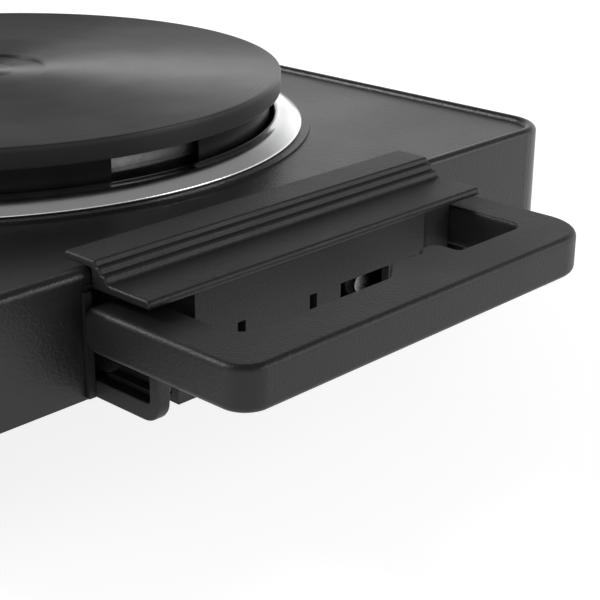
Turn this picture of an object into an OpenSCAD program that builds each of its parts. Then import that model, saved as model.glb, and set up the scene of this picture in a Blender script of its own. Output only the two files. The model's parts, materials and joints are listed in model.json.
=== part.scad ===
// Single-burner portable electric hot plate with a cast-iron disc and two fold-down handles.
// Millimetres. The origin is on the table under the centre of the disc; +X is the right-hand
// handle, -Y is the front with the control knob, +Z is up.

/* [Body] */
// Width of the sheet-steel body, left to right
body_w = 258; // [256:1:262]
// Depth of the body, front to back
body_d = 243; // [240:1:256]
// Height of the body's side wall with its rolled rim
body_h = 31.5; // [31:0.5:33]
// Radius of the body's upright corners
corner_r = 14; // [10:1:18]

/* [Plate] */
// Diameter of the cast-iron disc
plate_d = 185; // [182:1:186]
// Thickness of the disc's visible edge
plate_t = 6; // [5:0.5:7]
// Height of the disc's top face above the body's top sheet
plate_rise = 16.9; // [16:0.1:18]

/* [Handles] */
// Length of each handle frame along the body's side
handle_len = 129; // [128:1:134]
// Reach of each handle frame out from its hinge pin
handle_reach = 46.6; // [44:0.2:46.6]
// Thickness of the handle frame
handle_t = 11; // [10:0.5:11]
// Width of the handle's front bar
bar_w = 14.6; // [12:0.2:15]

/* [Feet and controls] */
// Height of the rubber feet
foot_h = 29; // [29:0.5:34]
// Diameter of the control knob
knob_d = 29; // [24:1:29]
// Length of the control knob
knob_len = 17; // [14:1:20]

/* [Hidden] */
sheet = 1;
bead_r = 2;
base_z = foot_h;
rim_top = base_z + body_h;
bead_z = rim_top - bead_r;
top_z = rim_top - 1.4;
half_w = body_w / 2;
half_d = body_d / 2;
fine = 96;
small = 32;

// heated disc and what carries it
plate_r = plate_d / 2;
plate_top = top_z + plate_rise;
plate_low = plate_top - plate_t;
dish_r = 20;
pan_r = 89;
pan_low = top_z - 3;
pan_skirt = top_z + 4.4;
notch_angles = [-3.5, 116.5, 236.5];
notch_span = 19;
ring_out = 98.6;
ring_in = 91.2;
ring_high = top_z + 4.5;
mouth_r = 91.5;
pad_r = 101.5;
pad_h = 0.5;
boss_r = 9;
rib_in = 82.5;
rib_out = 86;
stud_r = 3;
stud_low = base_z + 5;
clamp_z = base_z + 19;
coil_radii = [74, 62, 50, 38];
coil_r = 3.2;
coil_z = plate_low - coil_r - 0.1;

// hinge and bracket, measured from the body's side wall
pin_r = 2;
grip_y = -1.75;
pin_x = half_w + 7.4;
pin_z = base_z + 19;
arm_in = 51.3;
arm_out = handle_len / 2;
arm_nose = 5.6;
frame_low = pin_z - handle_t / 2;
frame_out = pin_x + handle_reach;
lug_in = 53.5;
lug_mid = 57;
lug_out = 60.5;
lug_drop = pin_z - base_z;
lug_reach = 15.3;
box_low = base_z + 0.6;
wall_gap = 0.2;
back_t = 1.2;
back_half = 63;
flange_half = 60;
flange_low = base_z + 26.8;
flange_top = base_z + 29;
strip_top = rim_top + 2.3;
box_half = 46;
box_face = half_w + 19.3;
face_end = 35.7;
face_step = 3.6;
pocket_in = 52.8;
pocket_out = 60.9;
pocket_wall = 1;
pocket_deep = pin_x - 23.2;
pocket_top = base_z + 27;
screw_y = 19.6;
screw_z = base_z + 9.7;
screw_seat = half_w + 9.6;

// controls on the front, supply inlet at the back
front_y = -half_d;
panel_t = 1.2;
knob_z = base_z + 15.6;
knob_face = front_y - panel_t - 1;
shaft_r = 3;
lamp_x = -42;
gland_x = -72;
gland_z = base_z + 14;
gland_bore = 4;
gland_out = knob_len + panel_t + 1;
foot_x = 98;
foot_y = 92;
foot_r = 11;
base_t = 1;
tab_x = 60;
tab_y = half_d - 9;

// ---- shared shapes ----

module round_rect(w, d, r) {
  square([w - 2 * r, d], center = true);
  square([w, d - 2 * r], center = true);
  for (sx = [-1, 1], sy = [-1, 1])
    translate([sx * (w / 2 - r), sy * (d / 2 - r)])
      circle(r, $fn = fine);
}

module slab(w, d, r, z0, z1) {
  translate([0, 0, z0])
    linear_extrude(z1 - z0)
      round_rect(w, d, r);
}

module disc(r, z0, z1) {
  translate([0, 0, z0])
    cylinder(h = z1 - z0, r = r, $fn = fine);
}

module box(lo, hi) {
  translate(lo)
    cube([hi[0] - lo[0], hi[1] - lo[1], hi[2] - lo[2]]);
}

// rod along Y from y0 to y1
module rod_y(x, z, y0, y1, r) {
  translate([x, y1, z])
    rotate([90, 0, 0])
      cylinder(h = y1 - y0, r = r, $fn = small);
}

// rod along X from x0 to x1
module rod_x(y, z, x0, x1, r) {
  translate([x0, y, z])
    rotate([0, 90, 0])
      cylinder(h = x1 - x0, r = r, $fn = small);
}

// quarter bend of a round lead, from +X round to +Y about the given centre
module lead_bend(centre, turn, bend, r) {
  translate(centre)
    rotate([0, 0, turn])
      rotate_extrude(angle = 90, $fn = small)
        translate([bend, 0])
          circle(r, $fn = small);
}

// level lead: a bend out of the inlet, a run along X, a bend and a short end along Y
module level_lead(x0, x1, y_run, y_end, z, bend, r) {
  union() {
    lead_bend([x0 + bend, y_run + bend, z], 180, bend, r);
    rod_x(y_run, z, x0 + bend, x1 - bend, r);
    lead_bend([x1 - bend, y_run - bend, z], 0, bend, r);
    rod_y(x1, z, y_end, y_run - bend, r);
  }
}

// ---- body ----

module rim_bead() {
  for (sy = [-1, 1])
    rod_x(sy * (half_d - bead_r), bead_z, corner_r - half_w, half_w - corner_r, bead_r);
  for (sx = [-1, 1])
    rod_y(sx * (half_w - bead_r), bead_z, corner_r - half_d, half_d - corner_r, bead_r);
  for (c = [[1, 1, 0], [-1, 1, 90], [-1, -1, 180], [1, -1, 270]])
    translate([c[0] * (half_w - corner_r), c[1] * (half_d - corner_r), bead_z])
      rotate([0, 0, c[2]])
        rotate_extrude(angle = 90, $fn = fine)
          translate([corner_r - bead_r, 0])
            circle(bead_r, $fn = small);
}

module pocket_windows() {
  for (sx = [-1, 1], sy = [-1, 1])
    translate([sx * half_w, grip_y + sy * (pocket_in + pocket_out) / 2, 0])
      translate([-2, -(pocket_out - pocket_in) / 2 - pocket_wall - 0.2, base_z - 1])
        cube([4, pocket_out - pocket_in + 2 * pocket_wall + 0.4, pocket_top - base_z + 2.2]);
}

module housing() {
  color("#1b1b1c")
  difference() {
    union() {
      slab(body_w, body_d, corner_r, base_z, bead_z);
      slab(body_w - 2 * bead_r, body_d - 2 * bead_r, corner_r - bead_r, bead_z, top_z);
      rim_bead();
      disc(pad_r, top_z, top_z + pad_h);
    }
    difference() {
      slab(body_w - 2 * sheet, body_d - 2 * sheet, corner_r - sheet, base_z - 1, top_z - sheet);
      // tabs that take the base screws
      for (sx = [-1, 1], sy = [-1, 1])
        translate([sx * tab_x - 7, sy * (half_d - 8) - 8, base_z + base_t])
          cube([14, 16, 1.2]);
    }
    for (sx = [-1, 1], sy = [-1, 1])
      translate([sx * tab_x, sy * tab_y, base_z])
        cylinder(h = 4, r = 1.6, $fn = small);
    disc(mouth_r, top_z - 2, top_z + 2);
    pocket_windows();
    rod_y(0, knob_z, front_y - 1, front_y + 2, 5.2);
    rod_y(lamp_x, knob_z, front_y - 1, front_y + 2, 4.2);
    rod_y(gland_x, gland_z, half_d - 2, half_d + 1, 7.2);
    for (sx = [-1, 1], sy = [-1, 1])
      rod_x(grip_y + sy * screw_y, screw_z, sx * half_w - 2, sx * half_w + 2, 2.1);
  }
}

module base_plate() {
  color("#2a2a2b")
  difference() {
    slab(body_w - 2 * sheet - 0.3, body_d - 2 * sheet - 0.3, corner_r - sheet - 0.1,
      base_z, base_z + base_t);
    for (sx = [-1, 1], sy = [-1, 1])
      translate([sx * (half_w - 4.5), grip_y + sy * (pocket_in + pocket_out) / 2, base_z])
        cube([10, pocket_out - pocket_in + 2.4, 4], center = true);
    for (i = [-4 : 4], sy = [-1, 1])
      translate([i * 12, sy * 46, base_z])
        slab(4, 34, 1.9, -1, 2);
    for (sx = [-1, 1], sy = [-1, 1])
      translate([sx * foot_x, sy * foot_y, 0])
        cylinder(h = base_z + 5, r = 2.1, $fn = small);
    for (sx = [-1, 1], sy = [-1, 1])
      translate([sx * tab_x, sy * tab_y, 0])
        cylinder(h = base_z + 5, r = 1.6, $fn = small);
  }
}

// ---- heated disc ----

module hot_plate() {
  color("#141414")
  difference() {
    rotate_extrude($fn = fine)
      polygon([[0, plate_low - 4], [boss_r, plate_low - 4], [boss_r, plate_low],
        [rib_in, plate_low], [rib_in, plate_low - 6], [rib_out, plate_low - 6],
        [rib_out, plate_low], [plate_r - 0.8, plate_low], [plate_r, plate_low + 0.8], [plate_r, plate_top - 1.2],
        [plate_r - 1.2, plate_top], [dish_r + 0.8, plate_top], [dish_r, plate_top - 0.6],
        [0, plate_top - 0.6]]);
    disc(stud_r, plate_low - 5, plate_low + 2);
  }
}

module notch_wedge(a) {
  rotate([0, 0, a])
    translate([0, 0, pan_low + 2])
      linear_extrude(plate_low - pan_low)
        polygon([[0, 0], [pan_r + 9, -(pan_r + 9) * tan(notch_span / 2)],
          [pan_r + 9, (pan_r + 9) * tan(notch_span / 2)]]);
}

module under_pan() {
  color("#222223")
  difference() {
    rotate_extrude($fn = fine)
      polygon([[14, pan_low], [pan_r, pan_low], [pan_r, plate_low - 0.05],
        [pan_r - 1, plate_low - 0.05], [pan_r - 1, pan_low + 1], [14, pan_low + 1]]);
    for (a = notch_angles)
      difference() {
        notch_wedge(a);
        disc(pan_r - 4, pan_low, plate_low);
      }
    for (x = [-38, 38])
      translate([x, 0, pan_low - 1])
        cylinder(h = 4, r = 5, $fn = small);
  }
}

module trim_ring() {
  color("#c9cbcd")
  rotate_extrude($fn = fine)
    polygon([[ring_out, top_z + pad_h], [ring_out + 0.4, top_z + pad_h + 0.4],
      [ring_out + 0.3, top_z + pad_h + 1], [ring_out - 0.3, top_z + pad_h + 1.4],
      [ring_in + 0.6, ring_high], [ring_in - 0.4, ring_high], [ring_in - 0.8, ring_high - 0.5],
      [ring_in - 0.8, top_z - 2.4], [ring_in, top_z - 2.4], [ring_in, ring_high - 0.9],
      [ring_out - 0.9, top_z + pad_h]]);
}

module heating_coil() {
  color("#3a3230")
  union() {
    for (r = coil_radii)
      translate([0, 0, coil_z])
        rotate_extrude($fn = fine)
          translate([r, 0])
            circle(coil_r, $fn = small);
    rod_x(0, coil_z, coil_radii[3], coil_radii[0], coil_r * 0.7);
    for (x = [-38, 38])
      translate([x, 0, pan_low - 9])
        cylinder(h = coil_z - pan_low + 9, r = 2.4, $fn = small);
  }
}

module insulation() {
  color("#d9d4c6")
  difference() {
    disc(82, pan_low + 1.05, pan_low + 5);
    disc(14, pan_low, pan_low + 6);
    for (x = [-38, 38])
      translate([x, 0, pan_low])
        cylinder(h = 8, r = 4, $fn = small);
  }
}

module centre_stud() {
  color("#b9bcc0")
  disc(stud_r, stud_low, plate_low + 1.9);
}

module clamp_bridge() {
  color("#8d9094")
  difference() {
    union() {
      box([-96, -10, clamp_z], [96, 10, clamp_z + 2]);
      for (sx = [-1, 1])
        box([sx * 95 - 1, -10, clamp_z], [sx * 95 + 1, 10, top_z - sheet - 0.05]);
    }
    disc(stud_r + 0.3, clamp_z - 1, clamp_z + 3);
    for (x = [-38, 38])
      translate([x, 0, clamp_z - 1])
        cylinder(h = 5, r = 5.5, $fn = small);
  }
}

module clamp_nut() {
  color("#b9bcc0")
  difference() {
    union() {
      disc(8, clamp_z - 1.2, clamp_z);
      translate([0, 0, clamp_z - 6.2])
        cylinder(h = 5, r = 5.8, $fn = 6);
    }
    disc(stud_r, clamp_z - 7, clamp_z + 1);
  }
}

// ---- controls ----

module control_panel() {
  color("#151516")
  difference() {
    translate([0, front_y, knob_z])
      rotate([90, 0, 0])
        linear_extrude(panel_t)
          round_rect(128, 25, 4);
    rod_y(0, knob_z, front_y - 3, front_y + 1, 5.2);
    rod_y(lamp_x, knob_z, front_y - 3, front_y + 1, 4.2);
  }
}

module thermostat() {
  color("#e7e2d4")
  difference() {
    union() {
      box([-16, front_y + 3, knob_z - 11], [16, front_y + 24, knob_z + 9]);
      rod_y(0, knob_z, front_y - 3.4, front_y + 4, 5);
      for (x = [-9, 9])
        box([x - 3, front_y + 23, knob_z - 4], [x + 3, front_y + 33, knob_z - 3.2]);
    }
    rod_y(0, knob_z, front_y - 4, front_y + 18, shaft_r + 0.05);
  }
}

module thermostat_nut() {
  color("#b9bcc0")
  difference() {
    translate([0, front_y - panel_t, knob_z])
      rotate([90, 0, 0])
        cylinder(h = 2, r = 7.5, $fn = 6);
    rod_y(0, knob_z, front_y - 4, front_y, 5);
  }
}

module knob_shaft() {
  color("#c4c6c9")
  difference() {
    rod_y(0, knob_z, knob_face - knob_len + 4, front_y + 17.5, shaft_r);
    box([-4, knob_face - knob_len + 2, knob_z + 1.6],
      [4, knob_face - 4, knob_z + 5]);
  }
}

module control_knob() {
  color("#171718")
  difference() {
    translate([0, knob_face, knob_z])
      rotate([90, 0, 0])
        union() {
          rotate_extrude($fn = fine)
            polygon([[0, 0], [knob_d / 2, 0], [knob_d / 2, 3], [knob_d / 2 - 1.4, 4.4],
              [knob_d / 2 - 2.6, knob_len - 5], [knob_d / 2 - 3.4, knob_len - 4.2],
              [0, knob_len - 4.2]]);
          translate([0, 0, knob_len - 5])
            linear_extrude(5)
              round_rect(7, knob_d - 6.8, 3);
        }
    rod_y(0, knob_z, knob_face - 3, knob_face + 1, 8.6);
    difference() {
      rod_y(0, knob_z, knob_face - knob_len + 4, knob_face + 1, shaft_r);
      box([-4, knob_face - knob_len + 2, knob_z + 1.6],
        [4, knob_face - 4, knob_z + 5]);
    }
    box([-1.1, knob_face - knob_len - 1, knob_z + 2],
      [1.1, knob_face - knob_len + 0.6, knob_z + knob_d / 2 - 4.4]);
  }
}

module knob_pointer() {
  color("#f2f2ee")
  box([-1.05, knob_face - knob_len - 0.2, knob_z + 2.1],
    [1.05, knob_face - knob_len + 0.55, knob_z + knob_d / 2 - 4.5]);
}

module lamp_body() {
  color("#202021")
  difference() {
    union() {
      rod_y(lamp_x, knob_z, front_y - panel_t - 1, front_y - panel_t, 5.4);
      rod_y(lamp_x, knob_z, front_y - panel_t - 1, front_y + 16, 4);
      for (x = [-1.6, 1.6])
        rod_y(lamp_x + x, knob_z, front_y + 15, front_y + 22, 0.5);
    }
    rod_y(lamp_x, knob_z, front_y - 4, front_y + 8, 3.2);
  }
}

module lamp_lens() {
  color("#c8281c")
  translate([lamp_x, front_y - panel_t - 1, knob_z])
    rotate([-90, 0, 0])
      rotate_extrude($fn = small)
        polygon([[0, -2.4], [1.4, -2.1], [2.5, -1.2], [3.15, 0], [3.15, 8], [0, 8]]);
}

module thermal_cutout() {
  color("#9a9da0")
  union() {
    translate([0, 0, pan_low - 6])
      translate([58, 34, 0])
        cylinder(h = 6, r = 7.5, $fn = small);
    for (x = [-4, 4])
      box([58 + x - 0.4, 28, pan_low - 14], [58 + x + 0.4, 33, pan_low - 5.9]);
  }
}

module terminal_block() {
  color("#ece7da")
  difference() {
    box([-48, 78, base_z + base_t], [-4, 96, base_z + base_t + 13]);
    for (i = [0 : 2])
      translate([-40 + i * 14, 87, base_z + base_t + 5])
        cylinder(h = 12, r = 3, $fn = small);
  }
}

module terminal_screws() {
  color("#c7a350")
  for (i = [0 : 2])
    translate([-40 + i * 14, 87, base_z + base_t + 5])
      union() {
        cylinder(h = 5, r = 1.6, $fn = small);
        translate([0, 0, 5])
          cylinder(h = 2, r = 2.8, $fn = small);
      }
}

module supply_leads() {
  color("#7a4a2c")
  for (i = [0 : 2])
    level_lead(gland_x, -40 + i * 14, 101.5, 96, base_z + 8 + i * 2.4, 3, 1);
}

module heater_lead(z, bend, r) {
  union() {
    rod_y(9, z, front_y + 33, -69 - bend, r);
    lead_bend([9 + bend, -69 - bend, z], 90, bend, r);
    rod_x(-69, z, 9 + bend, 38 - bend, r);
    lead_bend([38 - bend, bend - 69, z], -90, bend, r);
    rod_y(38, z, bend - 69, -bend, r);
    translate([38, -bend, z + bend])
      rotate([0, 90, 0])
        lead_bend([0, 0, 0], 0, bend, r);
    translate([38, 0, z + bend])
      cylinder(h = pan_low - 9.05 - z - bend, r = r, $fn = small);
  }
}

module heater_leads() {
  color("#a8a49a")
  for (side = [0, 1])
    mirror([side, 0, 0])
      heater_lead(knob_z - 3.6, 4, 1.1);
}

module earth_stud() {
  color("#c7a350")
  union() {
    translate([30, 88, base_z + base_t])
      cylinder(h = 12, r = 2, $fn = small);
    translate([30, 88, base_z + base_t])
      cylinder(h = 3, r = 4, $fn = 6);
  }
}

// ---- supply inlet ----

module cord_gland() {
  color("#1a1a1b")
  difference() {
    union() {
      rod_y(gland_x, gland_z, half_d, half_d + 2.4, 9.5);
      rod_y(gland_x, gland_z, half_d - 12, half_d + 1, 7);
      translate([gland_x, half_d + 2, gland_z])
        rotate([-90, 0, 0])
          cylinder(h = gland_out - 2, r1 = 7, r2 = 5.6, $fn = small);
    }
    rod_y(gland_x, gland_z, half_d - 13, half_d + gland_out + 1, gland_bore);
  }
}

module gland_nut() {
  color("#26262a")
  difference() {
    translate([gland_x, half_d - sheet, gland_z])
      rotate([90, 0, 0])
        cylinder(h = 4, r = 10.5, $fn = 6);
    rod_y(gland_x, gland_z, half_d - 6, half_d, 7);
  }
}

// ---- feet and fixings ----

module rubber_feet() {
  color("#1d1d1d")
  for (sx = [-1, 1], sy = [-1, 1])
    translate([sx * foot_x, sy * foot_y, 0])
      difference() {
        union() {
          cylinder(h = 1.2, r1 = foot_r - 1.2, r2 = foot_r, $fn = fine);
          translate([0, 0, 1.2])
            cylinder(h = foot_h - 1.2, r1 = foot_r, r2 = foot_r + 2, $fn = fine);
        }
        translate([0, 0, -1])
          cylinder(h = 19, r = 4.5, $fn = small);
        cylinder(h = foot_h + 1, r = 2.1, $fn = small);
      }
}

module foot_screws() {
  color("#b9bcc0")
  for (sx = [-1, 1], sy = [-1, 1])
    translate([sx * foot_x, sy * foot_y, 0])
      union() {
        translate([0, 0, 15.5])
          cylinder(h = 2.4, r = 4, $fn = small);
        translate([0, 0, 17.5])
          cylinder(h = foot_h - 17.5 + base_t + 5, r = 2, $fn = small);
        translate([0, 0, base_z + base_t])
          cylinder(h = 3, r = 3.8, $fn = 6);
      }
}

module base_screws() {
  color("#b9bcc0")
  for (sx = [-1, 1], sy = [-1, 1])
    translate([sx * tab_x, sy * tab_y, 0])
      union() {
        translate([0, 0, base_z - 1.8])
          cylinder(h = 1.8, r = 3, $fn = small);
        translate([0, 0, base_z - 0.5])
          cylinder(h = 7, r = 1.5, $fn = small);
      }
}

// ---- hinge bracket ----

module strip_profile() {
  w = half_w + wall_gap;
  polygon([[half_w - 9.5, rim_top + 0.2], [half_w - 9.5, strip_top - 0.5],
    [half_w - 9, strip_top], [half_w + 1.2, strip_top], [half_w + 1.7, strip_top - 0.4],
    [half_w + 1.7, strip_top - 1.6], [half_w + 3, strip_top - 1.7],
    [half_w + 3.4, strip_top - 2.1], [half_w + 3.4, strip_top - 3.3],
    [half_w + 4.7, strip_top - 3.4], [half_w + 5.1, strip_top - 3.8],
    [half_w + 5.1, flange_top], [half_w + 19.5, flange_top],
    [half_w + 20, flange_top - 0.5], [half_w + 20, flange_low], [w, flange_low],
    [w, rim_top + 0.2]]);
}

module cover_strip() {
  translate([0, flange_half - 1.2, 0])
    rotate([90, 0, 0])
      linear_extrude(2 * flange_half - 1.2)
        strip_profile();
}

module cover_strip_right() {
  color("#202021")
  translate([0, grip_y, 0])
    cover_strip();
}

module cover_strip_left() {
  color("#202021")
  mirror([1, 0, 0])
    translate([0, grip_y, 0])
      cover_strip();
}

module bracket() {
  difference() {
    union() {
      // back plate against the side wall, ribbed beside the rear screw
      box([half_w + wall_gap, -back_half, box_low],
        [half_w + wall_gap + back_t, back_half, flange_low]);
      for (i = [0 : 6])
        translate([half_w + wall_gap + back_t - 0.1, 36.2 + 1.1 * i, box_low + 1])
          cube([0.7, 0.55, 9]);
      // box between the arms: raised upper face, set-back end, slotted lower face
      box([box_face - 2.9, -box_half, base_z + 16], [box_face, face_end, flange_low]);
      difference() {
        box([box_face - 7.3, face_end - 3, base_z + 12], [box_face, arm_in - 0.4, flange_low]);
        box([box_face - face_step, face_end + 6.7, base_z + 11],
          [box_face + 1, arm_in, flange_low + 1]);
        translate([box_face + 8 - face_step, face_end + 6.7, base_z + 11])
          cylinder(h = 20, r = 8, $fn = fine);
      }
      box([box_face - 3.5, -box_half, base_z + 12], [box_face - 1.2, face_end, base_z + 16.5]);
      box([box_face - 3.5, -50.5, box_low], [box_face - 1.2, 50.5, base_z + 12.5]);
      for (sy = [-1, 1])
        translate([0, sy * (box_half - 1.5), 0])
          box([half_w + 1, -1.5, box_low],
            [box_face - (sy > 0 ? 4 : 2.5), 1.5, flange_low]);
      box([half_w + 1, -50.5, box_low], [box_face - 1.2, 50.5, box_low + 2]);
      // pockets that the handle's lugs swing into
      for (sy = [-1, 1])
        translate([0, sy * (pocket_in + pocket_out) / 2, 0])
          union() {
            box([pocket_deep - pocket_wall, pocket_in - 57 - pocket_wall, base_z + 2.5],
              [half_w, pocket_out - 57 + pocket_wall, pocket_top + pocket_wall]);
            box([half_w - 1, pocket_in - 57 - pocket_wall, base_z + 2.5],
              [half_w + wall_gap + 0.5, pocket_out - 57 + pocket_wall, flange_low]);
          }
      // seats for the two screws
      for (sy = [-1, 1])
        rod_x(sy * screw_y, screw_z, half_w + wall_gap, screw_seat, 3.8);
    }
    for (sy = [-1, 1])
      translate([0, sy * (pocket_in + pocket_out) / 2, 0])
        box([pocket_deep, pocket_in - 57, base_z - 2],
          [half_w + 4, pocket_out - 57, pocket_top]);
    for (y = [-30.2, -5.5, 30.2])
      box([box_face - 6, y - 1.3, base_z + 4], [box_face - 0.6, y + 1.3, base_z + 15.6]);
    box([box_face - 6, 4.5, base_z + 4], [box_face - 0.6, 23.2, base_z + 15.6]);
    for (sy = [-1, 1])
      rod_y(pin_x, pin_z, sy * box_half - 4, sy * box_half + 4, pin_r);
    for (sy = [-1, 1])
      rod_x(sy * screw_y, screw_z, half_w - 1, screw_seat + 1, 2.1);
  }
}

module bracket_right() {
  color("#202021")
  translate([0, grip_y, 0])
    bracket();
}

module bracket_left() {
  color("#202021")
  mirror([1, 0, 0])
    translate([0, grip_y, 0])
      bracket();
}

module bracket_screws() {
  for (sy = [-1, 1])
    union() {
      rod_x(sy * screw_y, screw_z, screw_seat, screw_seat + 2.4, 2.7);
      rod_x(sy * screw_y, screw_z, half_w - 7, screw_seat + 1, 2);
      translate([half_w - sheet - 3, sy * screw_y, screw_z])
        rotate([0, 90, 0])
          cylinder(h = 3, r = 3.8, $fn = 6);
    }
}

module bracket_screws_right() {
  color("#c4c6c9")
  translate([0, grip_y, 0])
    bracket_screws();
}

module bracket_screws_left() {
  color("#c4c6c9")
  mirror([1, 0, 0])
    translate([0, grip_y, 0])
      bracket_screws();
}

module hinge_pins() {
  for (sy = [-1, 1])
    rod_y(pin_x, pin_z, sy > 0 ? box_half - 4 : -arm_out + 4.5,
      sy > 0 ? arm_out - 4.5 : 4 - box_half, pin_r);
}

module hinge_pins_right() {
  color("#b9bcc0")
  translate([0, grip_y, 0])
    hinge_pins();
}

module hinge_pins_left() {
  color("#b9bcc0")
  mirror([1, 0, 0])
    translate([0, grip_y, 0])
      hinge_pins();
}

// ---- folding handle ----

module frame_outline() {
  // front and rear outer corner radii
  rf = 7;
  rr = 14;
  difference() {
    union() {
      translate([pin_x, -arm_out])
        square([handle_reach - rr, 2 * arm_out]);
      translate([pin_x, -arm_out + rf])
        square([handle_reach, 2 * arm_out - rf - rr]);
      translate([pin_x, -arm_out])
        square([handle_reach - rf, 2 * rf]);
      translate([frame_out - rf, rf - arm_out])
        circle(rf, $fn = fine);
      translate([frame_out - rr, arm_out - rr])
        circle(rr, $fn = fine);
    }
    translate([pin_x - 20, 0])
      difference() {
        translate([0, -arm_in])
          square([handle_reach - bar_w + 20, 2 * arm_in]);
        for (sy = [-1, 1])
          translate([handle_reach - bar_w + 20, sy * arm_in])
            difference() {
              square([12, 12], center = true);
              translate([-6, -sy * 6])
                circle(6, $fn = fine);
            }
      }
  }
  // low swelling on the bar's inner edge
  bar_x = frame_out - bar_w;
  polygon([[bar_x + 1, -3.3], [bar_x - 6.1, 5.4], [bar_x - 5.6, 16.4], [bar_x - 7.8, 18.4],
    [bar_x - 7.8, 20.6], [bar_x - 3.8, 24.6], [bar_x + 1, 24.6]]);
  translate([bar_x - 3.8, 20.6])
    circle(4, $fn = fine);
}

// side outline of an arm's hinge end: nose rounded below, chamfered above
module arm_nose_outline() {
  circle(arm_nose, $fn = fine);
  polygon([[0, -handle_t / 2], [2, -handle_t / 2], [2, handle_t / 2], [2.2 - arm_nose, handle_t / 2],
    [-arm_nose, handle_t / 2 - 2.2], [-arm_nose, 0]]);
}

module lug_outline(reach, drop) {
  r = 5;
  polygon([[-arm_nose, -drop], [reach - r, -drop], [reach, r - drop],
    [reach, 1 - handle_t / 2], [-arm_nose, 1 - handle_t / 2]]);
  translate([reach - r, r - drop])
    circle(r, $fn = fine);
}

module lug_tail() {
  polygon([[-arm_nose - 2, -lug_drop], [0, -lug_drop], [0, 4.7 - lug_drop],
    [-arm_nose - 2, 4.7 - lug_drop]]);
}

module lug_hollow() {
  a = 4.7 - lug_drop;
  polygon([[-arm_nose - 1, a], [lug_reach - 3, a], [lug_reach - 3, -handle_t / 2],
    [-arm_nose - 1, -handle_t / 2]]);
}

module side_slab(y0, y1) {
  translate([pin_x, y1, pin_z])
    rotate([90, 0, 0])
      linear_extrude(y1 - y0)
        children();
}

module handle() {
  difference() {
    union() {
      translate([0, 0, frame_low])
        linear_extrude(handle_t)
          frame_outline();
      side_slab(arm_in, arm_out) arm_nose_outline();
      side_slab(-arm_out, -arm_in) arm_nose_outline();
      side_slab(lug_mid, lug_out) lug_outline(lug_reach, lug_drop);
      side_slab(-lug_out, -lug_mid) lug_outline(lug_reach, lug_drop);
      side_slab(lug_mid, lug_out) lug_tail();
      side_slab(-lug_out, -lug_mid) lug_tail();
      side_slab(lug_in, lug_mid + 0.5) lug_outline(lug_reach - 3.3, lug_drop - 3);
      side_slab(-lug_mid - 0.5, -lug_in) lug_outline(lug_reach - 3.3, lug_drop - 3);
    }
    side_slab(lug_in + 1.6, lug_out + 1) lug_hollow();
    side_slab(-lug_out - 1, -lug_in - 1.6) lug_hollow();
    rod_y(pin_x, pin_z, arm_in - 1, arm_out - 4, pin_r + 0.05);
    rod_y(pin_x, pin_z, 4 - arm_out, 1 - arm_in, pin_r + 0.05);
  }
}

module handle_right() {
  color("#1e1e1f")
  translate([0, grip_y, 0])
    handle();
}

module handle_left() {
  color("#1e1e1f")
  mirror([1, 0, 0])
    translate([0, grip_y, 0])
      handle();
}

housing();
base_plate();
trim_ring();
hot_plate();
under_pan();
heating_coil();
insulation();
centre_stud();
clamp_bridge();
clamp_nut();
control_panel();
thermostat();
thermostat_nut();
knob_shaft();
control_knob();
knob_pointer();
lamp_body();
lamp_lens();
thermal_cutout();
terminal_block();
terminal_screws();
supply_leads();
heater_leads();
earth_stud();
cord_gland();
gland_nut();
rubber_feet();
foot_screws();
base_screws();
cover_strip_right();
cover_strip_left();
bracket_right();
bracket_left();
bracket_screws_right();
bracket_screws_left();
hinge_pins_right();
hinge_pins_left();
handle_right();
handle_left();
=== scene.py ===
import json
import math

import bmesh
import bpy
from mathutils import Matrix, Vector


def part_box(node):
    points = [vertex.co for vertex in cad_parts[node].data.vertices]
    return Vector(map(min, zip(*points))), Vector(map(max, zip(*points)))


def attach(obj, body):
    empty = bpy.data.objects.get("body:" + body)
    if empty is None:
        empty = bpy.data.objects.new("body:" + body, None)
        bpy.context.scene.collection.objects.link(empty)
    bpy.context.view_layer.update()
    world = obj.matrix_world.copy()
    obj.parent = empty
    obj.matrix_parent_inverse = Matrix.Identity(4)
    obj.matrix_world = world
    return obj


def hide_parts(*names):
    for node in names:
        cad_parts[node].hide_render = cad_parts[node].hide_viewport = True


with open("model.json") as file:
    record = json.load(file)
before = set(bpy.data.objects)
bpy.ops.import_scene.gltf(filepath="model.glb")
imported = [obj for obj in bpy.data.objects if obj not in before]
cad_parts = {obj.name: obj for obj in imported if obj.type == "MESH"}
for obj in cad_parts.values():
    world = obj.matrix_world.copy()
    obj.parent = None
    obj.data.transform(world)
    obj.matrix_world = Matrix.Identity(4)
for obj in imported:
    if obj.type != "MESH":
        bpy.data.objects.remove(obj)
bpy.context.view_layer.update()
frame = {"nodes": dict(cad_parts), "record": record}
NODES = frame["nodes"]
MM = 0.001
TAU = 2 * math.pi


# ---------------------------------------------------------------- materials

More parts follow.
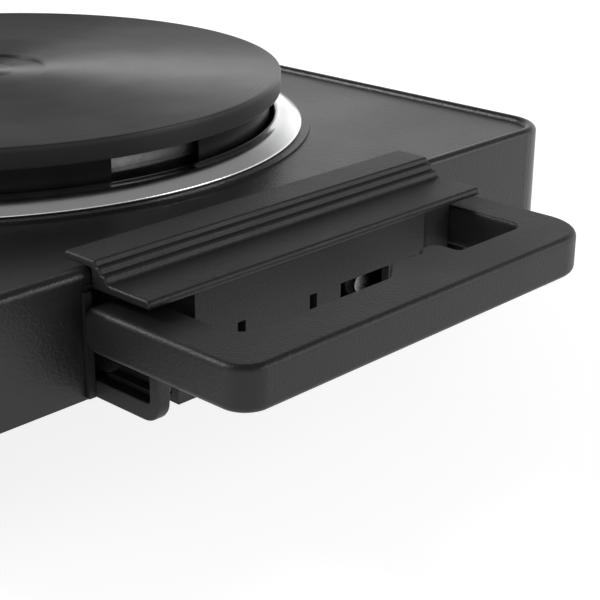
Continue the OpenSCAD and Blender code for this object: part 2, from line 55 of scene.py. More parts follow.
class Graph:
    """A small helper round one material's node tree."""

    def __init__(self, name, color, rough, metallic=0.0, **sockets):
        self.mat = bpy.data.materials.new(name)
        self.mat.use_nodes = True
        self.tree = self.mat.node_tree
        self.bsdf = self.tree.nodes["Principled BSDF"]
        self.put("Base Color", (*color, 1.0))
        self.put("Roughness", rough)
        self.put("Metallic", metallic)
        for key, value in sockets.items():
            self.put(key.replace("_", " "), value)
        self.coord = self.tree.nodes.new("ShaderNodeTexCoord").outputs["Object"]
        self.height = None

    def put(self, socket, value):
        self.bsdf.inputs[socket].default_value = value

    def link(self, a, b):
        self.tree.links.new(a, b)

    def noise(self, scale, detail=3.0, rough=0.5, vector=None):
        node = self.tree.nodes.new("ShaderNodeTexNoise")
        node.inputs["Scale"].default_value = scale
        node.inputs["Detail"].default_value = detail
        node.inputs["Roughness"].default_value = rough
        self.link(vector or self.coord, node.inputs["Vector"])
        return node.outputs["Fac"]

    def cells(self, scale):
        node = self.tree.nodes.new("ShaderNodeTexVoronoi")
        node.inputs["Scale"].default_value = scale
        self.link(self.coord, node.inputs["Vector"])
        return node.outputs["Distance"]

    def ramp(self, fac, lo, hi, low=0.35, high=0.65):
        """Maps a texture to a number or colour between lo and hi."""
        if isinstance(lo, tuple):
            node = self.tree.nodes.new("ShaderNodeValToRGB")
            node.color_ramp.elements[0].position = low
            node.color_ramp.elements[1].position = high
            node.color_ramp.elements[0].color = (*lo, 1)
            node.color_ramp.elements[1].color = (*hi, 1)
            self.link(fac, node.inputs["Fac"])
            return node.outputs["Color"]
        node = self.tree.nodes.new("ShaderNodeMapRange")
        node.inputs["From Min"].default_value = low
        node.inputs["From Max"].default_value = high
        node.inputs["To Min"].default_value = lo
        node.inputs["To Max"].default_value = hi
        self.link(fac, node.inputs["Value"])
        return node.outputs["Result"]

    def math(self, operation, a, b=None):
        node = self.tree.nodes.new("ShaderNodeMath")
        node.operation = operation
        for socket, value in zip(node.inputs, (a, b)):
            if value is None:
                continue
            if isinstance(value, (int, float)):
                socket.default_value = value
            else:
                self.link(value, socket)
        return node.outputs["Value"]

    def stretched(self, x, y, z):
        """Object coordinates scaled by a factor along each axis."""
        node = self.tree.nodes.new("ShaderNodeMapping")
        node.inputs["Scale"].default_value = (x, y, z)
        self.link(self.coord, node.inputs["Vector"])
        return node.outputs["Vector"]

    def radius(self):
        """Distance from the disc's axis, in metres."""
        flat = self.tree.nodes.new("ShaderNodeVectorMath")
        flat.operation = "MULTIPLY"
        flat.inputs[1].default_value = (1, 1, 0)
        size = self.tree.nodes.new("ShaderNodeVectorMath")
        size.operation = "LENGTH"
        self.link(self.coord, flat.inputs[0])
        self.link(flat.outputs["Vector"], size.inputs[0])
        return size.outputs["Value"]

    def part(self, axis):
        """One object coordinate, in metres."""
        node = self.tree.nodes.new("ShaderNodeSeparateXYZ")
        self.link(self.coord, node.inputs["Vector"])
        return node.outputs[axis]

    def along(self, value):
        """A vector with only its X set, so that a texture varies in one direction."""
        node = self.tree.nodes.new("ShaderNodeCombineXYZ")
        self.link(value, node.inputs["X"])
        return node.outputs["Vector"]

    def bump(self, height, strength, distance):
        node = self.tree.nodes.new("ShaderNodeBump")
        node.inputs["Strength"].default_value = strength
        node.inputs["Distance"].default_value = distance
        self.link(height, node.inputs["Height"])
        if self.height is not None:
            self.link(self.height, node.inputs["Normal"])
        self.height = node.outputs["Normal"]
        self.link(self.height, self.bsdf.inputs["Normal"])

    def color(self, fac, lo, hi, low=0.35, high=0.65):
        self.link(self.ramp(fac, lo, hi, low, high), self.bsdf.inputs["Base Color"])

    def rough(self, fac, lo, hi, low=0.35, high=0.65):
        self.link(self.ramp(fac, lo, hi, low, high), self.bsdf.inputs["Roughness"])


TOP_GLOSS, SIDE_GLOSS = 0.42, 0.24
DISC_EDGE_Z = (0.0744, 0.0752)
# painted shade on the heater's rim: the heights where it darkens towards its foot, the depths
# where it darkens towards the back, and the mottle on the edge of that shade
PAINTED_SHADE_LOW_Z = (0.0642, 0.0672)
PAINTED_SHADE_BACK_Y = (-0.008, 0.014)
PAINTED_SHADE_EDGE_MOTTLE = 0.012


def powder_coat():
    g = Graph("powder_coat", (0.007, 0.007, 0.0075), 0.34, Specular_IOR_Level=0.45)
    fine = g.noise(1500, 2.0, 0.55)
    peel = g.noise(420, 2.0, 0.5)
    broad = g.noise(22, 3.0, 0.5)
    g.color(broad, (0.0055, 0.0055, 0.006), (0.009, 0.009, 0.0095))
    g.rough(broad, 0.31, 0.37)
    g.bump(peel, 0.28, 0.00012)
    g.bump(fine, 0.70, 0.00014)
    return g.mat


def cast_iron():
    """Turned disc: fine rings whose gloss is drawn out across them, duller on the side."""
    g = Graph("cast_iron", (0.012, 0.012, 0.012), 0.4, Specular_IOR_Level=TOP_GLOSS)
    r = g.radius()
    rings = g.noise(1, 4.0, 0.62, g.along(g.math("MULTIPLY", r, 640.0)))
    wide = g.noise(1, 2.0, 0.5, g.along(g.math("MULTIPLY", r, 120.0)))
    pores = g.noise(1600, 2.0, 0.5)
    patches = g.noise(16, 4.0, 0.6)
    g.color(wide, (0.008, 0.008, 0.008), (0.020, 0.020, 0.020), 0.3, 0.7)
    g.rough(patches, 0.40, 0.48)
    turned = g.tree.nodes.new("ShaderNodeTangent")
    turned.direction_type = "RADIAL"
    turned.axis = "Z"
    g.put("Anisotropic", 0.85)
    g.put("Anisotropic Rotation", 0.25)
    g.link(turned.outputs["Tangent"], g.bsdf.inputs["Tangent"])
    gloss = g.ramp(g.part("Z"), SIDE_GLOSS, TOP_GLOSS, *DISC_EDGE_Z)
    g.link(gloss, g.bsdf.inputs["Specular IOR Level"])
    g.bump(rings, 0.35, 0.00016)
    g.bump(pores, 0.2, 0.00006)
    return g.mat


def stainless():
    g = Graph("stainless_trim", (0.78, 0.785, 0.79), 0.17, 1.0)
    r = g.radius()
    lines = g.noise(1, 5.0, 0.7, g.along(g.math("MULTIPLY", r, 2600.0)))
    smudge = g.noise(35, 3.0, 0.55)
    g.color(lines, (0.84, 0.845, 0.85), (0.91, 0.915, 0.92))
    g.rough(smudge, 0.15, 0.25)
    g.bump(lines, 0.06, 0.00004)
    return g.mat


def dark_steel():
    g = Graph("dark_steel", (0.004, 0.004, 0.004), 0.34, Specular_IOR_Level=0.16)
    g.color(g.noise(60, 4.0), (0.003, 0.003, 0.003), (0.006, 0.0058, 0.0055))
    g.rough(g.noise(90, 3.0), 0.30, 0.40)
    g.bump(g.noise(900, 2.0), 0.25, 0.00008)
    return g.mat


def heater_sheath():
    g = Graph("heater_sheath", (0.2, 0.18, 0.17), 0.5, 0.8)
    g.color(g.noise(120, 5.0), (0.10, 0.085, 0.08), (0.26, 0.24, 0.23))
    g.rough(g.noise(200, 3.0), 0.4, 0.65)
    g.bump(g.noise(1400, 2.0), 0.3, 0.0001)
    return g.mat


def ceramic():
    g = Graph("insulation", (0.78, 0.75, 0.68), 0.8)
    g.color(g.noise(80, 4.0), (0.70, 0.67, 0.60), (0.82, 0.79, 0.72))
    g.rough(g.noise(300, 2.0), 0.7, 0.9)
    g.bump(g.noise(1800, 3.0), 0.5, 0.0002)
    return g.mat


def zinc_steel():
    g = Graph("zinc_steel", (0.62, 0.63, 0.65), 0.28, 1.0)
    lines = g.noise(1, 4.0, 0.6, g.stretched(2400, 300, 300))
    g.color(g.cells(260), (0.52, 0.53, 0.55), (0.70, 0.71, 0.73), 0.1, 0.7)
    g.rough(g.noise(140, 4.0), 0.2, 0.38)
    g.bump(lines, 0.08, 0.00004)
    return g.mat


def rim_grey_with_painted_shade():
    """Cast rim of the heater: grey and mottled, with painted shade that darkens it to near black
    towards the back and darker towards its foot.
    """
    g = Graph("rim_grey_with_painted_shade", (0.12, 0.12, 0.12), 0.6, 0.35)
    mottle = g.noise(420, 5.0, 0.7)
    # painted shade: near black towards the back and darker towards the foot, with a ragged
    # mottled edge
    ragged = g.math("ADD", g.part("Y"), g.math("MULTIPLY", mottle, PAINTED_SHADE_EDGE_MOTTLE))
    shade = g.ramp(ragged, 1.0, 0.04, *PAINTED_SHADE_BACK_Y)
    foot = g.ramp(g.part("Z"), 0.25, 1.0, *PAINTED_SHADE_LOW_Z)
    mix = g.tree.nodes.new("ShaderNodeMix")
    mix.data_type = "RGBA"
    g.link(g.math("MULTIPLY", shade, foot), mix.inputs["Factor"])
    # the near black colour of the painted shade
    mix.inputs[6].default_value = (0.006, 0.006, 0.006, 1)
    g.link(g.ramp(mottle, (0.30, 0.297, 0.29), (0.55, 0.545, 0.54)), mix.inputs[7])
    g.link(mix.outputs[2], g.bsdf.inputs["Base Color"])
    g.rough(mottle, 0.5, 0.7)
    g.bump(mottle, 0.5, 0.0002)
    return g.mat


def black_plastic():
    g = Graph("black_plastic", (0.010, 0.010, 0.0105), 0.4, Specular_IOR_Level=0.35)
    grain = g.cells(2600)
    fine = g.noise(1300, 3.0, 0.6)
    broad = g.noise(30, 3.0, 0.5)
    g.color(broad, (0.0085, 0.0085, 0.009), (0.013, 0.013, 0.0135))
    g.rough(broad, 0.42, 0.50)
    g.bump(fine, 0.75, 0.00016)
    g.bump(grain, 0.35, 0.00008)
    return g.mat


def pointer_white():
    g = Graph("pointer_white", (0.85, 0.85, 0.83), 0.5)
    g.color(g.noise(500, 3.0), (0.80, 0.80, 0.78), (0.88, 0.88, 0.86))
    g.rough(g.noise(400, 2.0), 0.42, 0.6)
    g.bump(g.noise(1600, 2.0), 0.2, 0.00006)
    return g.mat


def lamp_red():
    g = Graph("lamp_red", (0.55, 0.03, 0.02), 0.12, Transmission_Weight=0.35, IOR=1.49)
    g.color(g.noise(300, 2.0), (0.48, 0.02, 0.015), (0.62, 0.045, 0.03))
    g.rough(g.noise(250, 2.0), 0.08, 0.18)
    g.bump(g.cells(1100), 0.25, 0.0001)
    return g.mat


def brass():
    g = Graph("brass", (0.72, 0.55, 0.25), 0.25, 1.0)
    g.color(g.noise(160, 4.0), (0.62, 0.46, 0.19), (0.78, 0.61, 0.30))
    g.rough(g.noise(220, 3.0), 0.18, 0.36)
    g.bump(g.noise(2000, 2.0), 0.1, 0.00004)
    return g.mat


def lead_sleeve():
    g = Graph("lead_sleeve", (0.5, 0.42, 0.34), 0.75)
    weave = g.cells(1500)
    g.color(weave, (0.36, 0.29, 0.22), (0.58, 0.50, 0.42), 0.1, 0.6)
    g.rough(g.noise(300, 2.0), 0.65, 0.85)
    g.bump(weave, 0.5, 0.00015)
    return g.mat


def rubber():
    g = Graph("rubber", (0.016, 0.016, 0.016), 0.72, Specular_IOR_Level=0.35)
    g.color(g.noise(45, 3.0), (0.012, 0.012, 0.012), (0.026, 0.025, 0.024))
    g.rough(g.noise(120, 3.0), 0.62, 0.82)
    g.bump(g.noise(1400, 3.0), 0.35, 0.0001)
    return g.mat


MATERIALS = {make.__name__: make() for make in (
    powder_coat, cast_iron, dark_steel, heater_sheath, zinc_steel, black_plastic,
    pointer_white, lamp_red, brass, lead_sleeve, rubber)}
MATERIALS["stainless_trim"] = stainless()
MATERIALS["insulation"] = ceramic()
SLOT_OF = {s["node"]: s["material_slot"] for s in frame["record"]["subparts"]}


def paint(obj, slot):
    obj.data.materials.clear()
    obj.data.materials.append(MATERIALS[slot])


for name, node in NODES.items():
    paint(node, SLOT_OF[name])


# ---------------------------------------------------------------- mesh helpers

def finish_piece(obj, body, slot, *nodes):
    paint(obj, slot)
    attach(obj, body)
    if nodes:
        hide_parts(*nodes)
    return obj


def new_object(name, mesh):
    obj = bpy.data.objects.new(name, mesh)
    bpy.context.scene.collection.objects.link(obj)
    return obj


def from_bmesh(name, bm, smooth_angle=40.0):
    bmesh.ops.recalc_face_normals(bm, faces=bm.faces)
    mesh = bpy.data.meshes.new(name)
    bm.to_mesh(mesh)
    bm.free()
    for p in mesh.polygons:
        p.use_smooth = True
    mesh.set_sharp_from_angle(angle=math.radians(smooth_angle))
    return new_object(name, mesh)


def bake_modifiers(obj):
    """Applies the modifiers on obj, so that only its mesh is left."""
    dg = bpy.context.evaluated_depsgraph_get()
    mesh = bpy.data.meshes.new_from_object(obj.evaluated_get(dg))
    obj.modifiers.clear()
    obj.data = mesh
    return obj


def spin(bm, profile, steps, place, flutes=None):
    """Adds a closed profile of (radius, height) in millimetres turned round Z, then placed.

    flutes is (count, depth, least radius): shallow grooves pressed into the wider parts.
    """
    rings = []
    for r, z in profile:
        ring = []
        for i in range(steps if r > 1e-6 else 1):
            a = TAU * i / steps
            q = r
            if flutes:
                count, depth, least = flutes
                if r > least:
                    q -= depth * max(0.0, math.cos(count * a)) ** 2
            ring.append(bm.verts.new(place @ Vector((q * math.cos(a), q * math.sin(a), z)) * MM))
        rings.append(ring)
    for a, b in zip(rings, rings[1:] + rings[:1]):
        if len(a) == 1 and len(b) == 1:
            continue
        for i in range(steps):
            j = (i + 1) % steps
            quad = [a[i % len(a)], a[j % len(a)], b[j % len(b)], b[i % len(b)]]
            bm.faces.new(list(dict.fromkeys(quad)))


def lathe(name, profile, steps, place=Matrix(), smooth_angle=35.0):
    bm = bmesh.new()
    spin(bm, profile, steps, place)
    return from_bmesh(name, bm, smooth_angle)


def arc(cr, cz, r, a0, a1, n):
    """Points of a rounded corner in a profile; angles in degrees from +radius towards +height."""
    return [(cr + r * math.cos(math.radians(a0 + (a1 - a0) * i / n)),
             cz + r * math.sin(math.radians(a0 + (a1 - a0) * i / n))) for i in range(n + 1)]


def unit(v):
    return v.normalized()


def rounded_corners(points, radius, special=None, steps=6):
    """A closed outline whose corners are turned into arcs.

    special gives another radius by corner number.
    """
    out = []
    count = len(points)
    for i, p in enumerate(points):
        c = Vector(p)
        a, b = Vector(points[i - 1]) - c, Vector(points[(i + 1) % count]) - c
        u, v = unit(a), unit(b)
        half = math.acos(max(-1, min(1, u.dot(v)))) / 2
        r = (special or {}).get(i, radius)
        reach = min(r / math.tan(half), 0.48 * min(a.length, b.length))
        r = reach * math.tan(half)
        if r < 1e-4:
            out.append(c)
            continue
        centre = c + unit(u + v) * (r / math.sin(half))
        start, stop = c + u * reach - centre, c + v * reach - centre
        turn = math.atan2(start.x * stop.y - start.y * stop.x, start.dot(stop))
        n = max(1, round(abs(turn) / (math.pi / 2) * steps))
        base = math.atan2(start.y, start.x)
        for k in range(n + 1):
            t = base + turn * k / n
            out.append(centre + Vector((math.cos(t), math.sin(t))) * r)
    return out


def inset(loop, d, share=None):
    """The outline moved inwards by d, for an outline that runs anticlockwise.

    share(point) gives the part of d that a point moves.
    """
    out = []
    count = len(loop)
    for i, c in enumerate(loop):
        a, b = unit(c - loop[i - 1]), unit(loop[(i + 1) % count] - c)
        na, nb = Vector((-a.y, a.x)), Vector((-b.y, b.x))
        m = na + nb
        step = d * (share(c) if share else 1)
        out.append(c + m * (step / max(0.35, 1 + na.dot(nb))))
    return out


def bridge(bm, pairs):
    """Joins each pair of closed rings of vertices with a band of quads."""
    for a, b in pairs:
        for i in range(len(a)):
            j = (i + 1) % len(a)
            bm.faces.new((a[i], a[j], b[j], b[i]))


def prism(bm, loop, lo, hi, edge, place, steps=4, share=None):
    """Adds a closed prism over an outline, with both ends rounded over.

    place(x, y, h) gives the point, with h running from lo to hi.
    """
    area = sum(a.x * b.y - b.x * a.y for a, b in zip(loop, loop[1:] + loop[:1]))
    if area < 0:
        loop = loop[::-1]
    levels = []
    for k in range(steps + 1):
        t = math.pi / 2 * k / steps
        levels.append((lo + edge * (1 - math.cos(t)), edge * (1 - math.sin(t))))
    levels += [(lo + hi - h, d) for h, d in reversed(levels)]
    rings = []
    for h, d in levels:
        ring = inset(loop, d, share) if d > 1e-6 else loop
        rings.append([bm.verts.new(Vector(place(v.x, v.y, h)) * MM) for v in ring])
    bridge(bm, zip(rings, rings[1:]))
    bm.faces.new(rings[0][::-1])
    bm.faces.new(rings[-1])


def shaded(name, bm):
    """An object from bm with smooth rounded edges and flat broad faces."""
    obj = from_bmesh(name, bm)
    even = obj.modifiers.new("even", "WEIGHTED_NORMAL")
    even.keep_sharp = True
    even.weight = 90
    return bake_modifiers(obj)


# ---------------------------------------------------------------- heated disc and trim ring

PLATE_LO, PLATE_HI = (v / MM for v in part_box("hot_plate"))
PLATE_R = PLATE_HI.x
PLATE_TOP = PLATE_HI.z
PLATE_LOW = PLATE_TOP - 6
DISH_R, DISH_DEEP = 20, 0.6
GROOVE_PITCH, GROOVE_DEEP = 1.9, 0.035
TURNED_STEPS = 240


def cast_plate():
    grooves = []
    r = PLATE_R - 2.6
    while r > DISH_R + 2:
        bottom = PLATE_TOP - GROOVE_DEEP
        grooves += [(r + 0.55, PLATE_TOP), (r + 0.2, bottom), (r - 0.2, bottom)]
        r -= GROOVE_PITCH
    profile = [(0, PLATE_LOW - 4), (9, PLATE_LOW - 4), (9, PLATE_LOW), (82.4, PLATE_LOW),
               (PLATE_R - 0.8, PLATE_LOW)]
    profile += arc(PLATE_R - 0.7, PLATE_LOW + 0.7, 0.7, -80, 0, 4)
    profile += arc(PLATE_R - 0.5, PLATE_TOP - 0.5, 0.5, 0, 90, 5)
    profile += grooves
    dish = PLATE_TOP - DISH_DEEP
    profile += [(DISH_R + 0.9, PLATE_TOP), (DISH_R + 0.4, PLATE_TOP - 0.15),
                (DISH_R, PLATE_TOP - 0.55), (DISH_R - 0.8, dish), (11, dish),
                (10.6, PLATE_TOP - 0.68), (10.2, dish), (0, dish)]
    return lathe("cast_plate", profile, TURNED_STEPS, smooth_angle=50)


finish_piece(cast_plate(), "base", "cast_iron", "hot_plate")


def under_plate(name, section):
    """A ring turned from (radius, drop below the disc's underside)."""
    return lathe(name, [(r, PLATE_LOW - drop) for r, drop in section], TURNED_STEPS)


# the heater's cast rim and its foot, seen through the skirt's notch
rim = under_plate("heater_rim", [(82.5, 0.02), (82.5, 5.6), (82.9, 6), (85.6, 6), (86, 5.6),
                                 (86, 4.9), (85.8, 4.7), (86, 4.5), (86, 0.02)])
finish_piece(rim, "base", "zinc_steel")
# the rim gets grey with painted shade towards its back and its foot
rim.data.materials[0] = rim_grey_with_painted_shade()

rim_foot = under_plate("rim_foot", [(83.2, 6.1), (83.2, 14), (85, 14), (85, 6.6), (84.6, 6.1)])
finish_piece(rim_foot, "base", "dark_steel")

RING_LO, RING_HI = (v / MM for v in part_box("trim_ring"))


def trim_ring():
    out, top, low = RING_HI.x, RING_HI.z, RING_LO.z
    inner, crest = 90.4, 92.6
    foot = top - 4
    profile = arc(out - 0.5, foot + 0.5, 0.5, -90, 60, 6)
    start, rise, count = out - 0.7, 2.35, 8
    for i in range(count + 1):
        t = i / count
        profile.append((start - (start - crest) * t,
                        foot + 1.25 + rise * math.sin(t * math.pi / 2)))
    profile += arc(inner + 1.1, top - 1.1, 1.1, 75, 180, 8)
    profile += [(inner, low + 0.3), (inner + 0.3, low), (inner + 0.8, low),
                (inner + 0.8, top - 1.5), (out - 1.2, foot + 0.1)]
    return lathe("ring", profile, 256, smooth_angle=60)


finish_piece(trim_ring(), "base", "stainless_trim", "trim_ring")


# ---------------------------------------------------------------- cover strips and handles

BODY_LO, BODY_HI = (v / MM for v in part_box("housing"))
HALF_W, HALF_D, RIM_TOP = BODY_HI.x, BODY_HI.y, BODY_HI.z
GRIP_Y = -1.75
PIN_X, PIN_Z = HALF_W + 7.4, 48.0
ARM_IN, ARM_OUT = 51.3, 64.5
REACH, BAR = 46.6, 14.6
HALF_T = 5.5
NOSE = 5.6
HANDLE_EDGE = 1.7
CLEAR = 0.03
LUG_REACH, LUG_DROP, LUG_TAIL = 15.3, 19.0, 2.0
FLANGE_TOP = 58.0


def cover_strip(side, sign):
    """The moulding over the body's edge: a flat, two ridges and the flange over the handle."""
    lo, hi = (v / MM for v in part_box("cover_strip_" + side))
    top, under = hi.z, lo.z
    inner, wall, outer = HALF_W - 9.5, HALF_W + 0.2, HALF_W + 20
    points = [(inner, RIM_TOP + 0.2), (wall, RIM_TOP + 0.2), (wall, under), (outer, under),
              (outer, FLANGE_TOP), (HALF_W + 5.6, FLANGE_TOP), (HALF_W + 5.0, top - 3.1),
              (HALF_W + 3.5, top - 2.9), (HALF_W + 3.1, top - 1.5), (HALF_W + 1.8, top - 1.3),
              (HALF_W + 1.4, top), (inner, top)]
    radii = {0: 0.95, 1: 0.6, 2: 0.0, 3: 1.0, 4: 1.05, 5: 1.6, 6: 0.8, 7: 0.5, 8: 0.8,
             9: 0.5, 10: 0.8, 11: 1.1}
    loop = rounded_corners(points, 0.6, radii, 6)
    bm = bmesh.new()
    prism(bm, loop, lo.y, hi.y, 0.68, lambda x, z, y: (sign * x, y, z), 5)
    return shaded("strip_" + side, bm)


def frame_loop():
    """The grip from above, with the low swelling on the inside of its bar."""
    bar = REACH - BAR
    points = [(2, -ARM_OUT), (REACH, -ARM_OUT), (REACH, ARM_OUT), (2, ARM_OUT), (2, ARM_IN),
              (bar, ARM_IN), (bar, 24.6), (bar - 7.8, 24.6), (bar - 7.8, 18.4),
              (bar - 5.6, 16.6), (bar - 6.1, 5.4), (bar, -2.4), (bar, -ARM_IN), (2, -ARM_IN)]
    radii = {1: 7, 2: 14, 5: 4, 6: 1, 7: 4, 8: 1.4, 9: 1.4, 10: 2.5, 11: 3, 12: 6}
    return rounded_corners(points, 0.0, radii, 14)


def inner_share(v):
    """The opening's edge is rounded less than the outside."""
    return 0.45 if v.x < REACH - BAR + 0.6 and abs(v.y) < ARM_IN + 0.6 else 1.0


def nose_loop():
    """The arm's rounded end from the side, a little inside the grip's own faces."""
    t = HALF_T - CLEAR
    points = [(8, -t), (8, t), (2.2 - NOSE, t), (-NOSE, t - 2.2), (-NOSE, -t)]
    return rounded_corners(points, 0.0, {2: 2.2, 3: 2.2, 4: 5.0}, 10)


def lug_loop(reach, drop, strip, leg, tail):
    """An L on its side: a bottom strip from the hinge side and a leg up to the arm."""
    points = [(-tail, -drop), (reach, -drop), (reach, 1 - HALF_T), (reach - leg, 1 - HALF_T),
              (reach - leg, strip - drop), (-tail, strip - drop)]
    return rounded_corners(points, 0.6, {1: 5.0, 4: 0.8}, 8)


def handle(side, sign):
    """One folding handle: the grip, and under each arm a lug, an inner lug and a web."""
    bm = bmesh.new()

    def flat(x, y, h):
        return (sign * (PIN_X + x), y + GRIP_Y, PIN_Z + h)

    def upright(x, z, h):
        return (sign * (PIN_X + x), h + GRIP_Y, PIN_Z + z)

    nose = nose_loop()
    lug = lug_loop(LUG_REACH, LUG_DROP, 4.7, 3.2, NOSE + LUG_TAIL)
    inner_reach, inner_drop = LUG_REACH - 3.3, LUG_DROP - 3
    inner_lug = lug_loop(inner_reach, inner_drop, 3.0, 2.4, NOSE)
    web = rounded_corners([(-NOSE, -inner_drop), (inner_reach, -inner_drop),
                           (inner_reach, 1 - HALF_T), (-NOSE, 1 - HALF_T)], 0.5, {1: 4.0}, 6)
    prism(bm, frame_loop(), -HALF_T, HALF_T, HANDLE_EDGE, flat, 5, inner_share)
    for end in (-1, 1):
        def span(a, b):
            return (a, b) if end > 0 else (-b, -a)
        prism(bm, nose, *span(ARM_IN + CLEAR, ARM_OUT - CLEAR), HANDLE_EDGE, upright, 5)
        prism(bm, lug, *span(57, 60.5), 0.5, upright, 2)
        prism(bm, inner_lug, *span(54, 57.6), 0.4, upright, 2)
        prism(bm, web, *span(53.5, 55.1), 0.3, upright, 2)
    return shaded("grip_" + side, bm)


def pocket_shade_sills(side, sign):
    """Folded sheet edges that narrow the two openings in the base under the lug pockets, dark
    like the body: painted shade put there so that the floor does not show through the openings.
    """
    half, thick, low = 5.3, 0.9, 28.45
    loop = rounded_corners([(-half, 0), (half, 0), (half, thick), (-half, thick)], 0.3, None, 3)
    bm = bmesh.new()
    for end in (-1, 1):
        mid = GRIP_Y + end * 56.85
        prism(bm, loop, HALF_W - 12, HALF_W - 5.9, 0.25,
              lambda y, z, x: (sign * x, mid + y, low + z), 2)
    return shaded("pocket_shade_sills_" + side, bm)


for side, sign in (("right", 1), ("left", -1)):
    # dark sheet edges under the lug pockets as painted shade over the openings
    finish_piece(pocket_shade_sills(side, sign), "base", "powder_coat")
    finish_piece(handle(side, sign), side + "_handle", "black_plastic", "handle_" + side)
    finish_piece(cover_strip(side, sign), "base", "black_plastic", "cover_strip_" + side)


# ---------------------------------------------------------------- controls, inlet and feet

def along_y(x, y, z, sign):
    """Places a turned shape with its axis along sign * Y and its foot at the point."""
    return Matrix.Translation((x, y, z)) @ Matrix.Rotation(math.radians(-90 * sign), 4, "X")


def middle(node):
    """The node's box and its centre, in millimetres."""
    lo, hi = (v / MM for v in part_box(node))
    return lo, hi, (lo + hi) / 2


def knob():
    """A fluted skirt with a rounded grip bar across it."""
    lo, hi, mid = middle("control_knob")
    r, long = (hi.x - lo.x) / 2, hi.y - lo.y
    place = along_y(0, hi.y, mid.z, -1)
    bm = bmesh.new()
    skirt = [(0, 0.4), (8.7, 0.4), (8.7, 0), (r - 0.5, 0)] + arc(r - 0.7, 0.7, 0.7, -60, 0, 3)
    skirt += arc(r - 0.9, 2.5, 0.9, 0, 60, 4) + [(r - 1.5, 4.2), (r - 2.0, 6)]
    skirt += [(r - 2.4, long - 7)] + arc(r - 4.4, long - 6.4, 2.0, 0, 90, 6) + [(0, long - 4.4)]
    spin(bm, skirt, TURNED_STEPS, place, (30, 0.45, r - 3.4))
    half = r - 3.5
    bar = rounded_corners([(-3.4, -half), (3.4, -half), (3.4, half), (-3.4, half)], 2.6, None, 8)
    prism(bm, bar, long - 9, long - 0.05, 1.1, lambda x, z, h: (x, hi.y - h, mid.z + z), 5)
    return shaded("knob_grip", bm)


def panel():
    """The control panel with a thin raised line round its border."""
    lo, hi, mid = middle("control_panel")
    bm = bmesh.new()
    w, h = (hi.x - lo.x) / 2, (hi.z - lo.z) / 2
    plate = rounded_corners([(-w, -h), (w, -h), (w, h), (-w, h)], 4, None, 10)
    prism(bm, plate, lo.y, hi.y, 0.45, lambda x, z, y: (x, y, mid.z + z), 3)
    w, h = w - 2, h - 2
    lip = rounded_corners([(-w, -h), (w, -h), (w, h), (-w, h)], 2.6, None, 8)
    lip_in = inset(lip, 0.5)
    sunk, proud = lo.y + 0.1, lo.y - 0.12
    rings = []
    for loop, y in ((lip, sunk), (lip, proud), (lip_in, proud), (lip_in, sunk)):
        rings.append([bm.verts.new(Vector((v.x, y, mid.z + v.y)) * MM) for v in loop])
    bridge(bm, zip(rings, rings[1:] + rings[:1]))
    return shaded("fascia", bm)


def dial_ticks():
    """Raised graduations on the panel at both sides of the knob, longer with more heat."""
    lo, _, mid = middle("control_panel")
    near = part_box("control_knob")[1].x / MM + 1.6
    first, sweep = 60, 240
    bm = bmesh.new()
    for turn in (*range(first, 121, 15), *range(240, first + sweep + 1, 15)):
        a = math.radians(turn)
        out, side = Vector((math.sin(a), math.cos(a))), Vector((math.cos(a), -math.sin(a))) * 0.35
        far = near + 1 + 1.6 * (turn - first) / sweep
        corners = [out * near - side, out * far - side, out * far + side, out * near + side]
        prism(bm, corners, lo.y - 0.12, lo.y + 0.1, 0.05, lambda x, z, y: (x, y, mid.z + z), 1)
    return shaded("dial_ticks", bm)


def gland():
    """The cord inlet: collar, ribbed sleeve and bore."""
    lo, hi, mid = middle("cord_gland")
    bore, back = 4.0, HALF_D - lo.y
    end = hi.y - HALF_D
    tube = [(bore, -back), (7, -back), (7, 0.02), (9.4, 0.02)]
    tube += arc(9.0, 1.9, 0.5, 0, 90, 4) + [(7.6, 2.4)] + arc(7.6, 3.0, 0.6, -90, -180, 4)
    h, ribs = 4.4, []
    while h < end - 2.4:
        r = 7.0 - 1.3 * h / end
        ribs += [(r, h), (r + 0.45, h + 0.35), (r + 0.45, h + 0.95), (r, h + 1.3)]
        h += 2.5
    tube += ribs + arc(5.2, end - 0.5, 0.5, 0, 90, 4) + [(bore + 0.3, end), (bore, end - 0.3)]
    return lathe("gland", tube, 96, along_y(mid.x, HALF_D, mid.z, 1), 50)


def feet():
    """Four tapered feet with three grooves round each and a counterbore for its screw."""
    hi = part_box("rubber_feet")[1] / MM
    top = hi.z
    outer = 13.0
    x, y = hi.x - outer, hi.y - outer
    profile = [(4.9, 0), (6.2, 0), (6.4, 0.5), (7.2, 0.5), (7.4, 0)]
    profile += arc(9.8, 1.3, 1.3, -90, -10, 5)
    for h in (7, 12.5, 18):
        r = 11.1 + 1.9 * h / top
        profile += [(r, h), (r - 0.45, h + 0.4), (r - 0.45, h + 1.1), (r + 0.08, h + 1.5)]
    profile += [(12.9, top - 1.2)] + arc(12.4, top - 0.6, 0.5, 0, 90, 4)
    profile += [(2.1, top - 0.02), (2.1, 18), (4.5, 18), (4.5, 0.4)]
    bm = bmesh.new()
    for sx in (-1, 1):
        for sy in (-1, 1):
            spin(bm, profile, 96, Matrix.Translation((sx * x, sy * y, 0)))
    return from_bmesh("feet", bm, 35)


finish_piece(knob(), "knob", "black_plastic", "control_knob")
finish_piece(panel(), "base", "black_plastic", "control_panel")
finish_piece(dial_ticks(), "base", "pointer_white")
finish_piece(gland(), "base", "black_plastic", "cord_gland")
finish_piece(feet(), "base", "rubber", "rubber_feet")


# ---------------------------------------------------------------- stage

# sine of the elevation where the backdrop ends and the ceiling begins, and their strengths
BACKDROP_UP_TO, CEILING_FROM = 0.17, 0.55
BACKDROP, CEILING = 1.22, 0.22
FLOOR_SIZE, FLOOR_GLOW = 6.0, 0.83


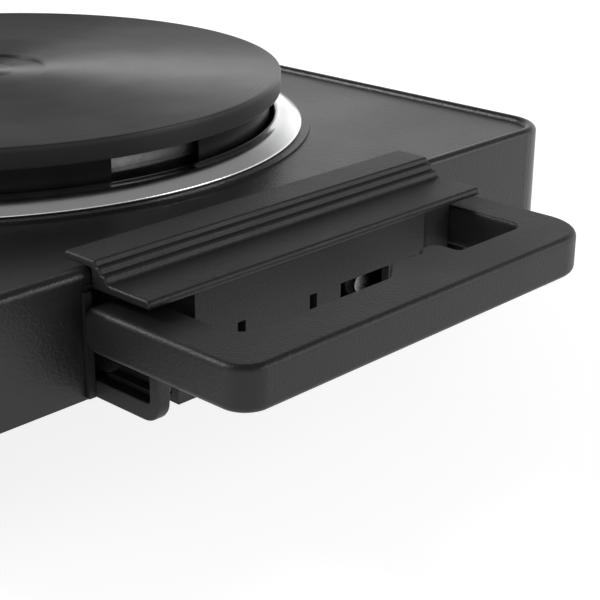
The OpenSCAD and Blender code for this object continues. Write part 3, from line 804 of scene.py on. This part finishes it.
def stage():
    """A plain pale floor that glows a little, so that it stays white."""
    bm = bmesh.new()
    bmesh.ops.create_grid(bm, x_segments=1, y_segments=1, size=FLOOR_SIZE)
    floor = from_bmesh("floor", bm)
    g = Graph("paper", (0.42, 0.42, 0.42), 0.7, Specular_IOR_Level=0.1,
              Emission_Color=(1, 1, 1, 1), Emission_Strength=FLOOR_GLOW)
    g.color(g.noise(3.0, 2.0), (0.415, 0.415, 0.415), (0.425, 0.425, 0.425))
    floor.data.materials.append(g.mat)


def area(name, at, aim, size, power):
    """A rectangular lamp at one point, facing another."""
    data = bpy.data.lights.new(name, "AREA")
    data.shape = "RECTANGLE"
    data.size, data.size_y = size
    data.energy = power
    obj = bpy.data.objects.new(name, data)
    bpy.context.scene.collection.objects.link(obj)
    at, aim = Vector(at), Vector(aim)
    obj.rotation_euler = (aim - at).to_track_quat("-Z", "Y").to_euler()
    obj.location = at


def studio():
    """A bright backdrop near the horizon and a darker ceiling."""
    world = bpy.data.worlds.new("studio")
    world.use_nodes = True
    tree = world.node_tree
    sky = tree.nodes["Background"]
    where = tree.nodes.new("ShaderNodeTexCoord")
    split = tree.nodes.new("ShaderNodeSeparateXYZ")
    ramp = tree.nodes.new("ShaderNodeMapRange")
    ramp.interpolation_type = "SMOOTHSTEP"
    for socket, value in (("From Min", BACKDROP_UP_TO), ("From Max", CEILING_FROM),
                          ("To Min", BACKDROP), ("To Max", CEILING)):
        ramp.inputs[socket].default_value = value
    tree.links.new(where.outputs["Generated"], split.inputs["Vector"])
    tree.links.new(split.outputs["Z"], ramp.inputs["Value"])
    tree.links.new(ramp.outputs["Result"], sky.inputs["Strength"])
    sky.inputs["Color"].default_value = (1, 1, 1, 1)
    bpy.context.scene.world = world
    bpy.context.scene.view_settings.view_transform = "Standard"


stage()
studio()
area("fill", (-0.75, -0.55, 0.85), (0.08, -0.05, 0.05), (0.45, 0.45), 8)
area("edge", (0.85, 0.62, 0.48), (0.12, -0.02, 0.05), (0.55, 0.28), 2.2)


# ---------------------------------------------------------------- camera

CAM_AZ, CAM_EL, CAM_ROLL = 43.25, 21.55, -0.44
CAM_AT = (0.3743, -0.2536, 0.1750)
CAM_LENS, CAM_SENSOR = 87.72, 36


def camera():
    """The picture's view: azimuth 0 looks along +Y, roll turns the picture about its centre."""
    az, el = math.radians(90 - CAM_AZ), math.radians(CAM_EL)
    roll = math.radians(CAM_ROLL)
    forward = Vector((-math.cos(az) * math.cos(el), math.sin(az) * math.cos(el), -math.sin(el)))
    level = Vector((math.sin(az), math.cos(az), 0))
    down = forward.cross(level)
    right = math.cos(roll) * level + math.sin(roll) * down
    up = math.sin(roll) * level - math.cos(roll) * down
    data = bpy.data.cameras.new("camera")
    data.lens = CAM_LENS
    data.sensor_width = CAM_SENSOR
    data.clip_start = 0.01
    obj = bpy.data.objects.new("camera", data)
    bpy.context.scene.collection.objects.link(obj)
    turn = Matrix((right, up, -forward)).transposed().to_4x4()
    obj.matrix_world = Matrix.Translation(Vector(CAM_AT)) @ turn
    bpy.context.scene.camera = obj


camera()
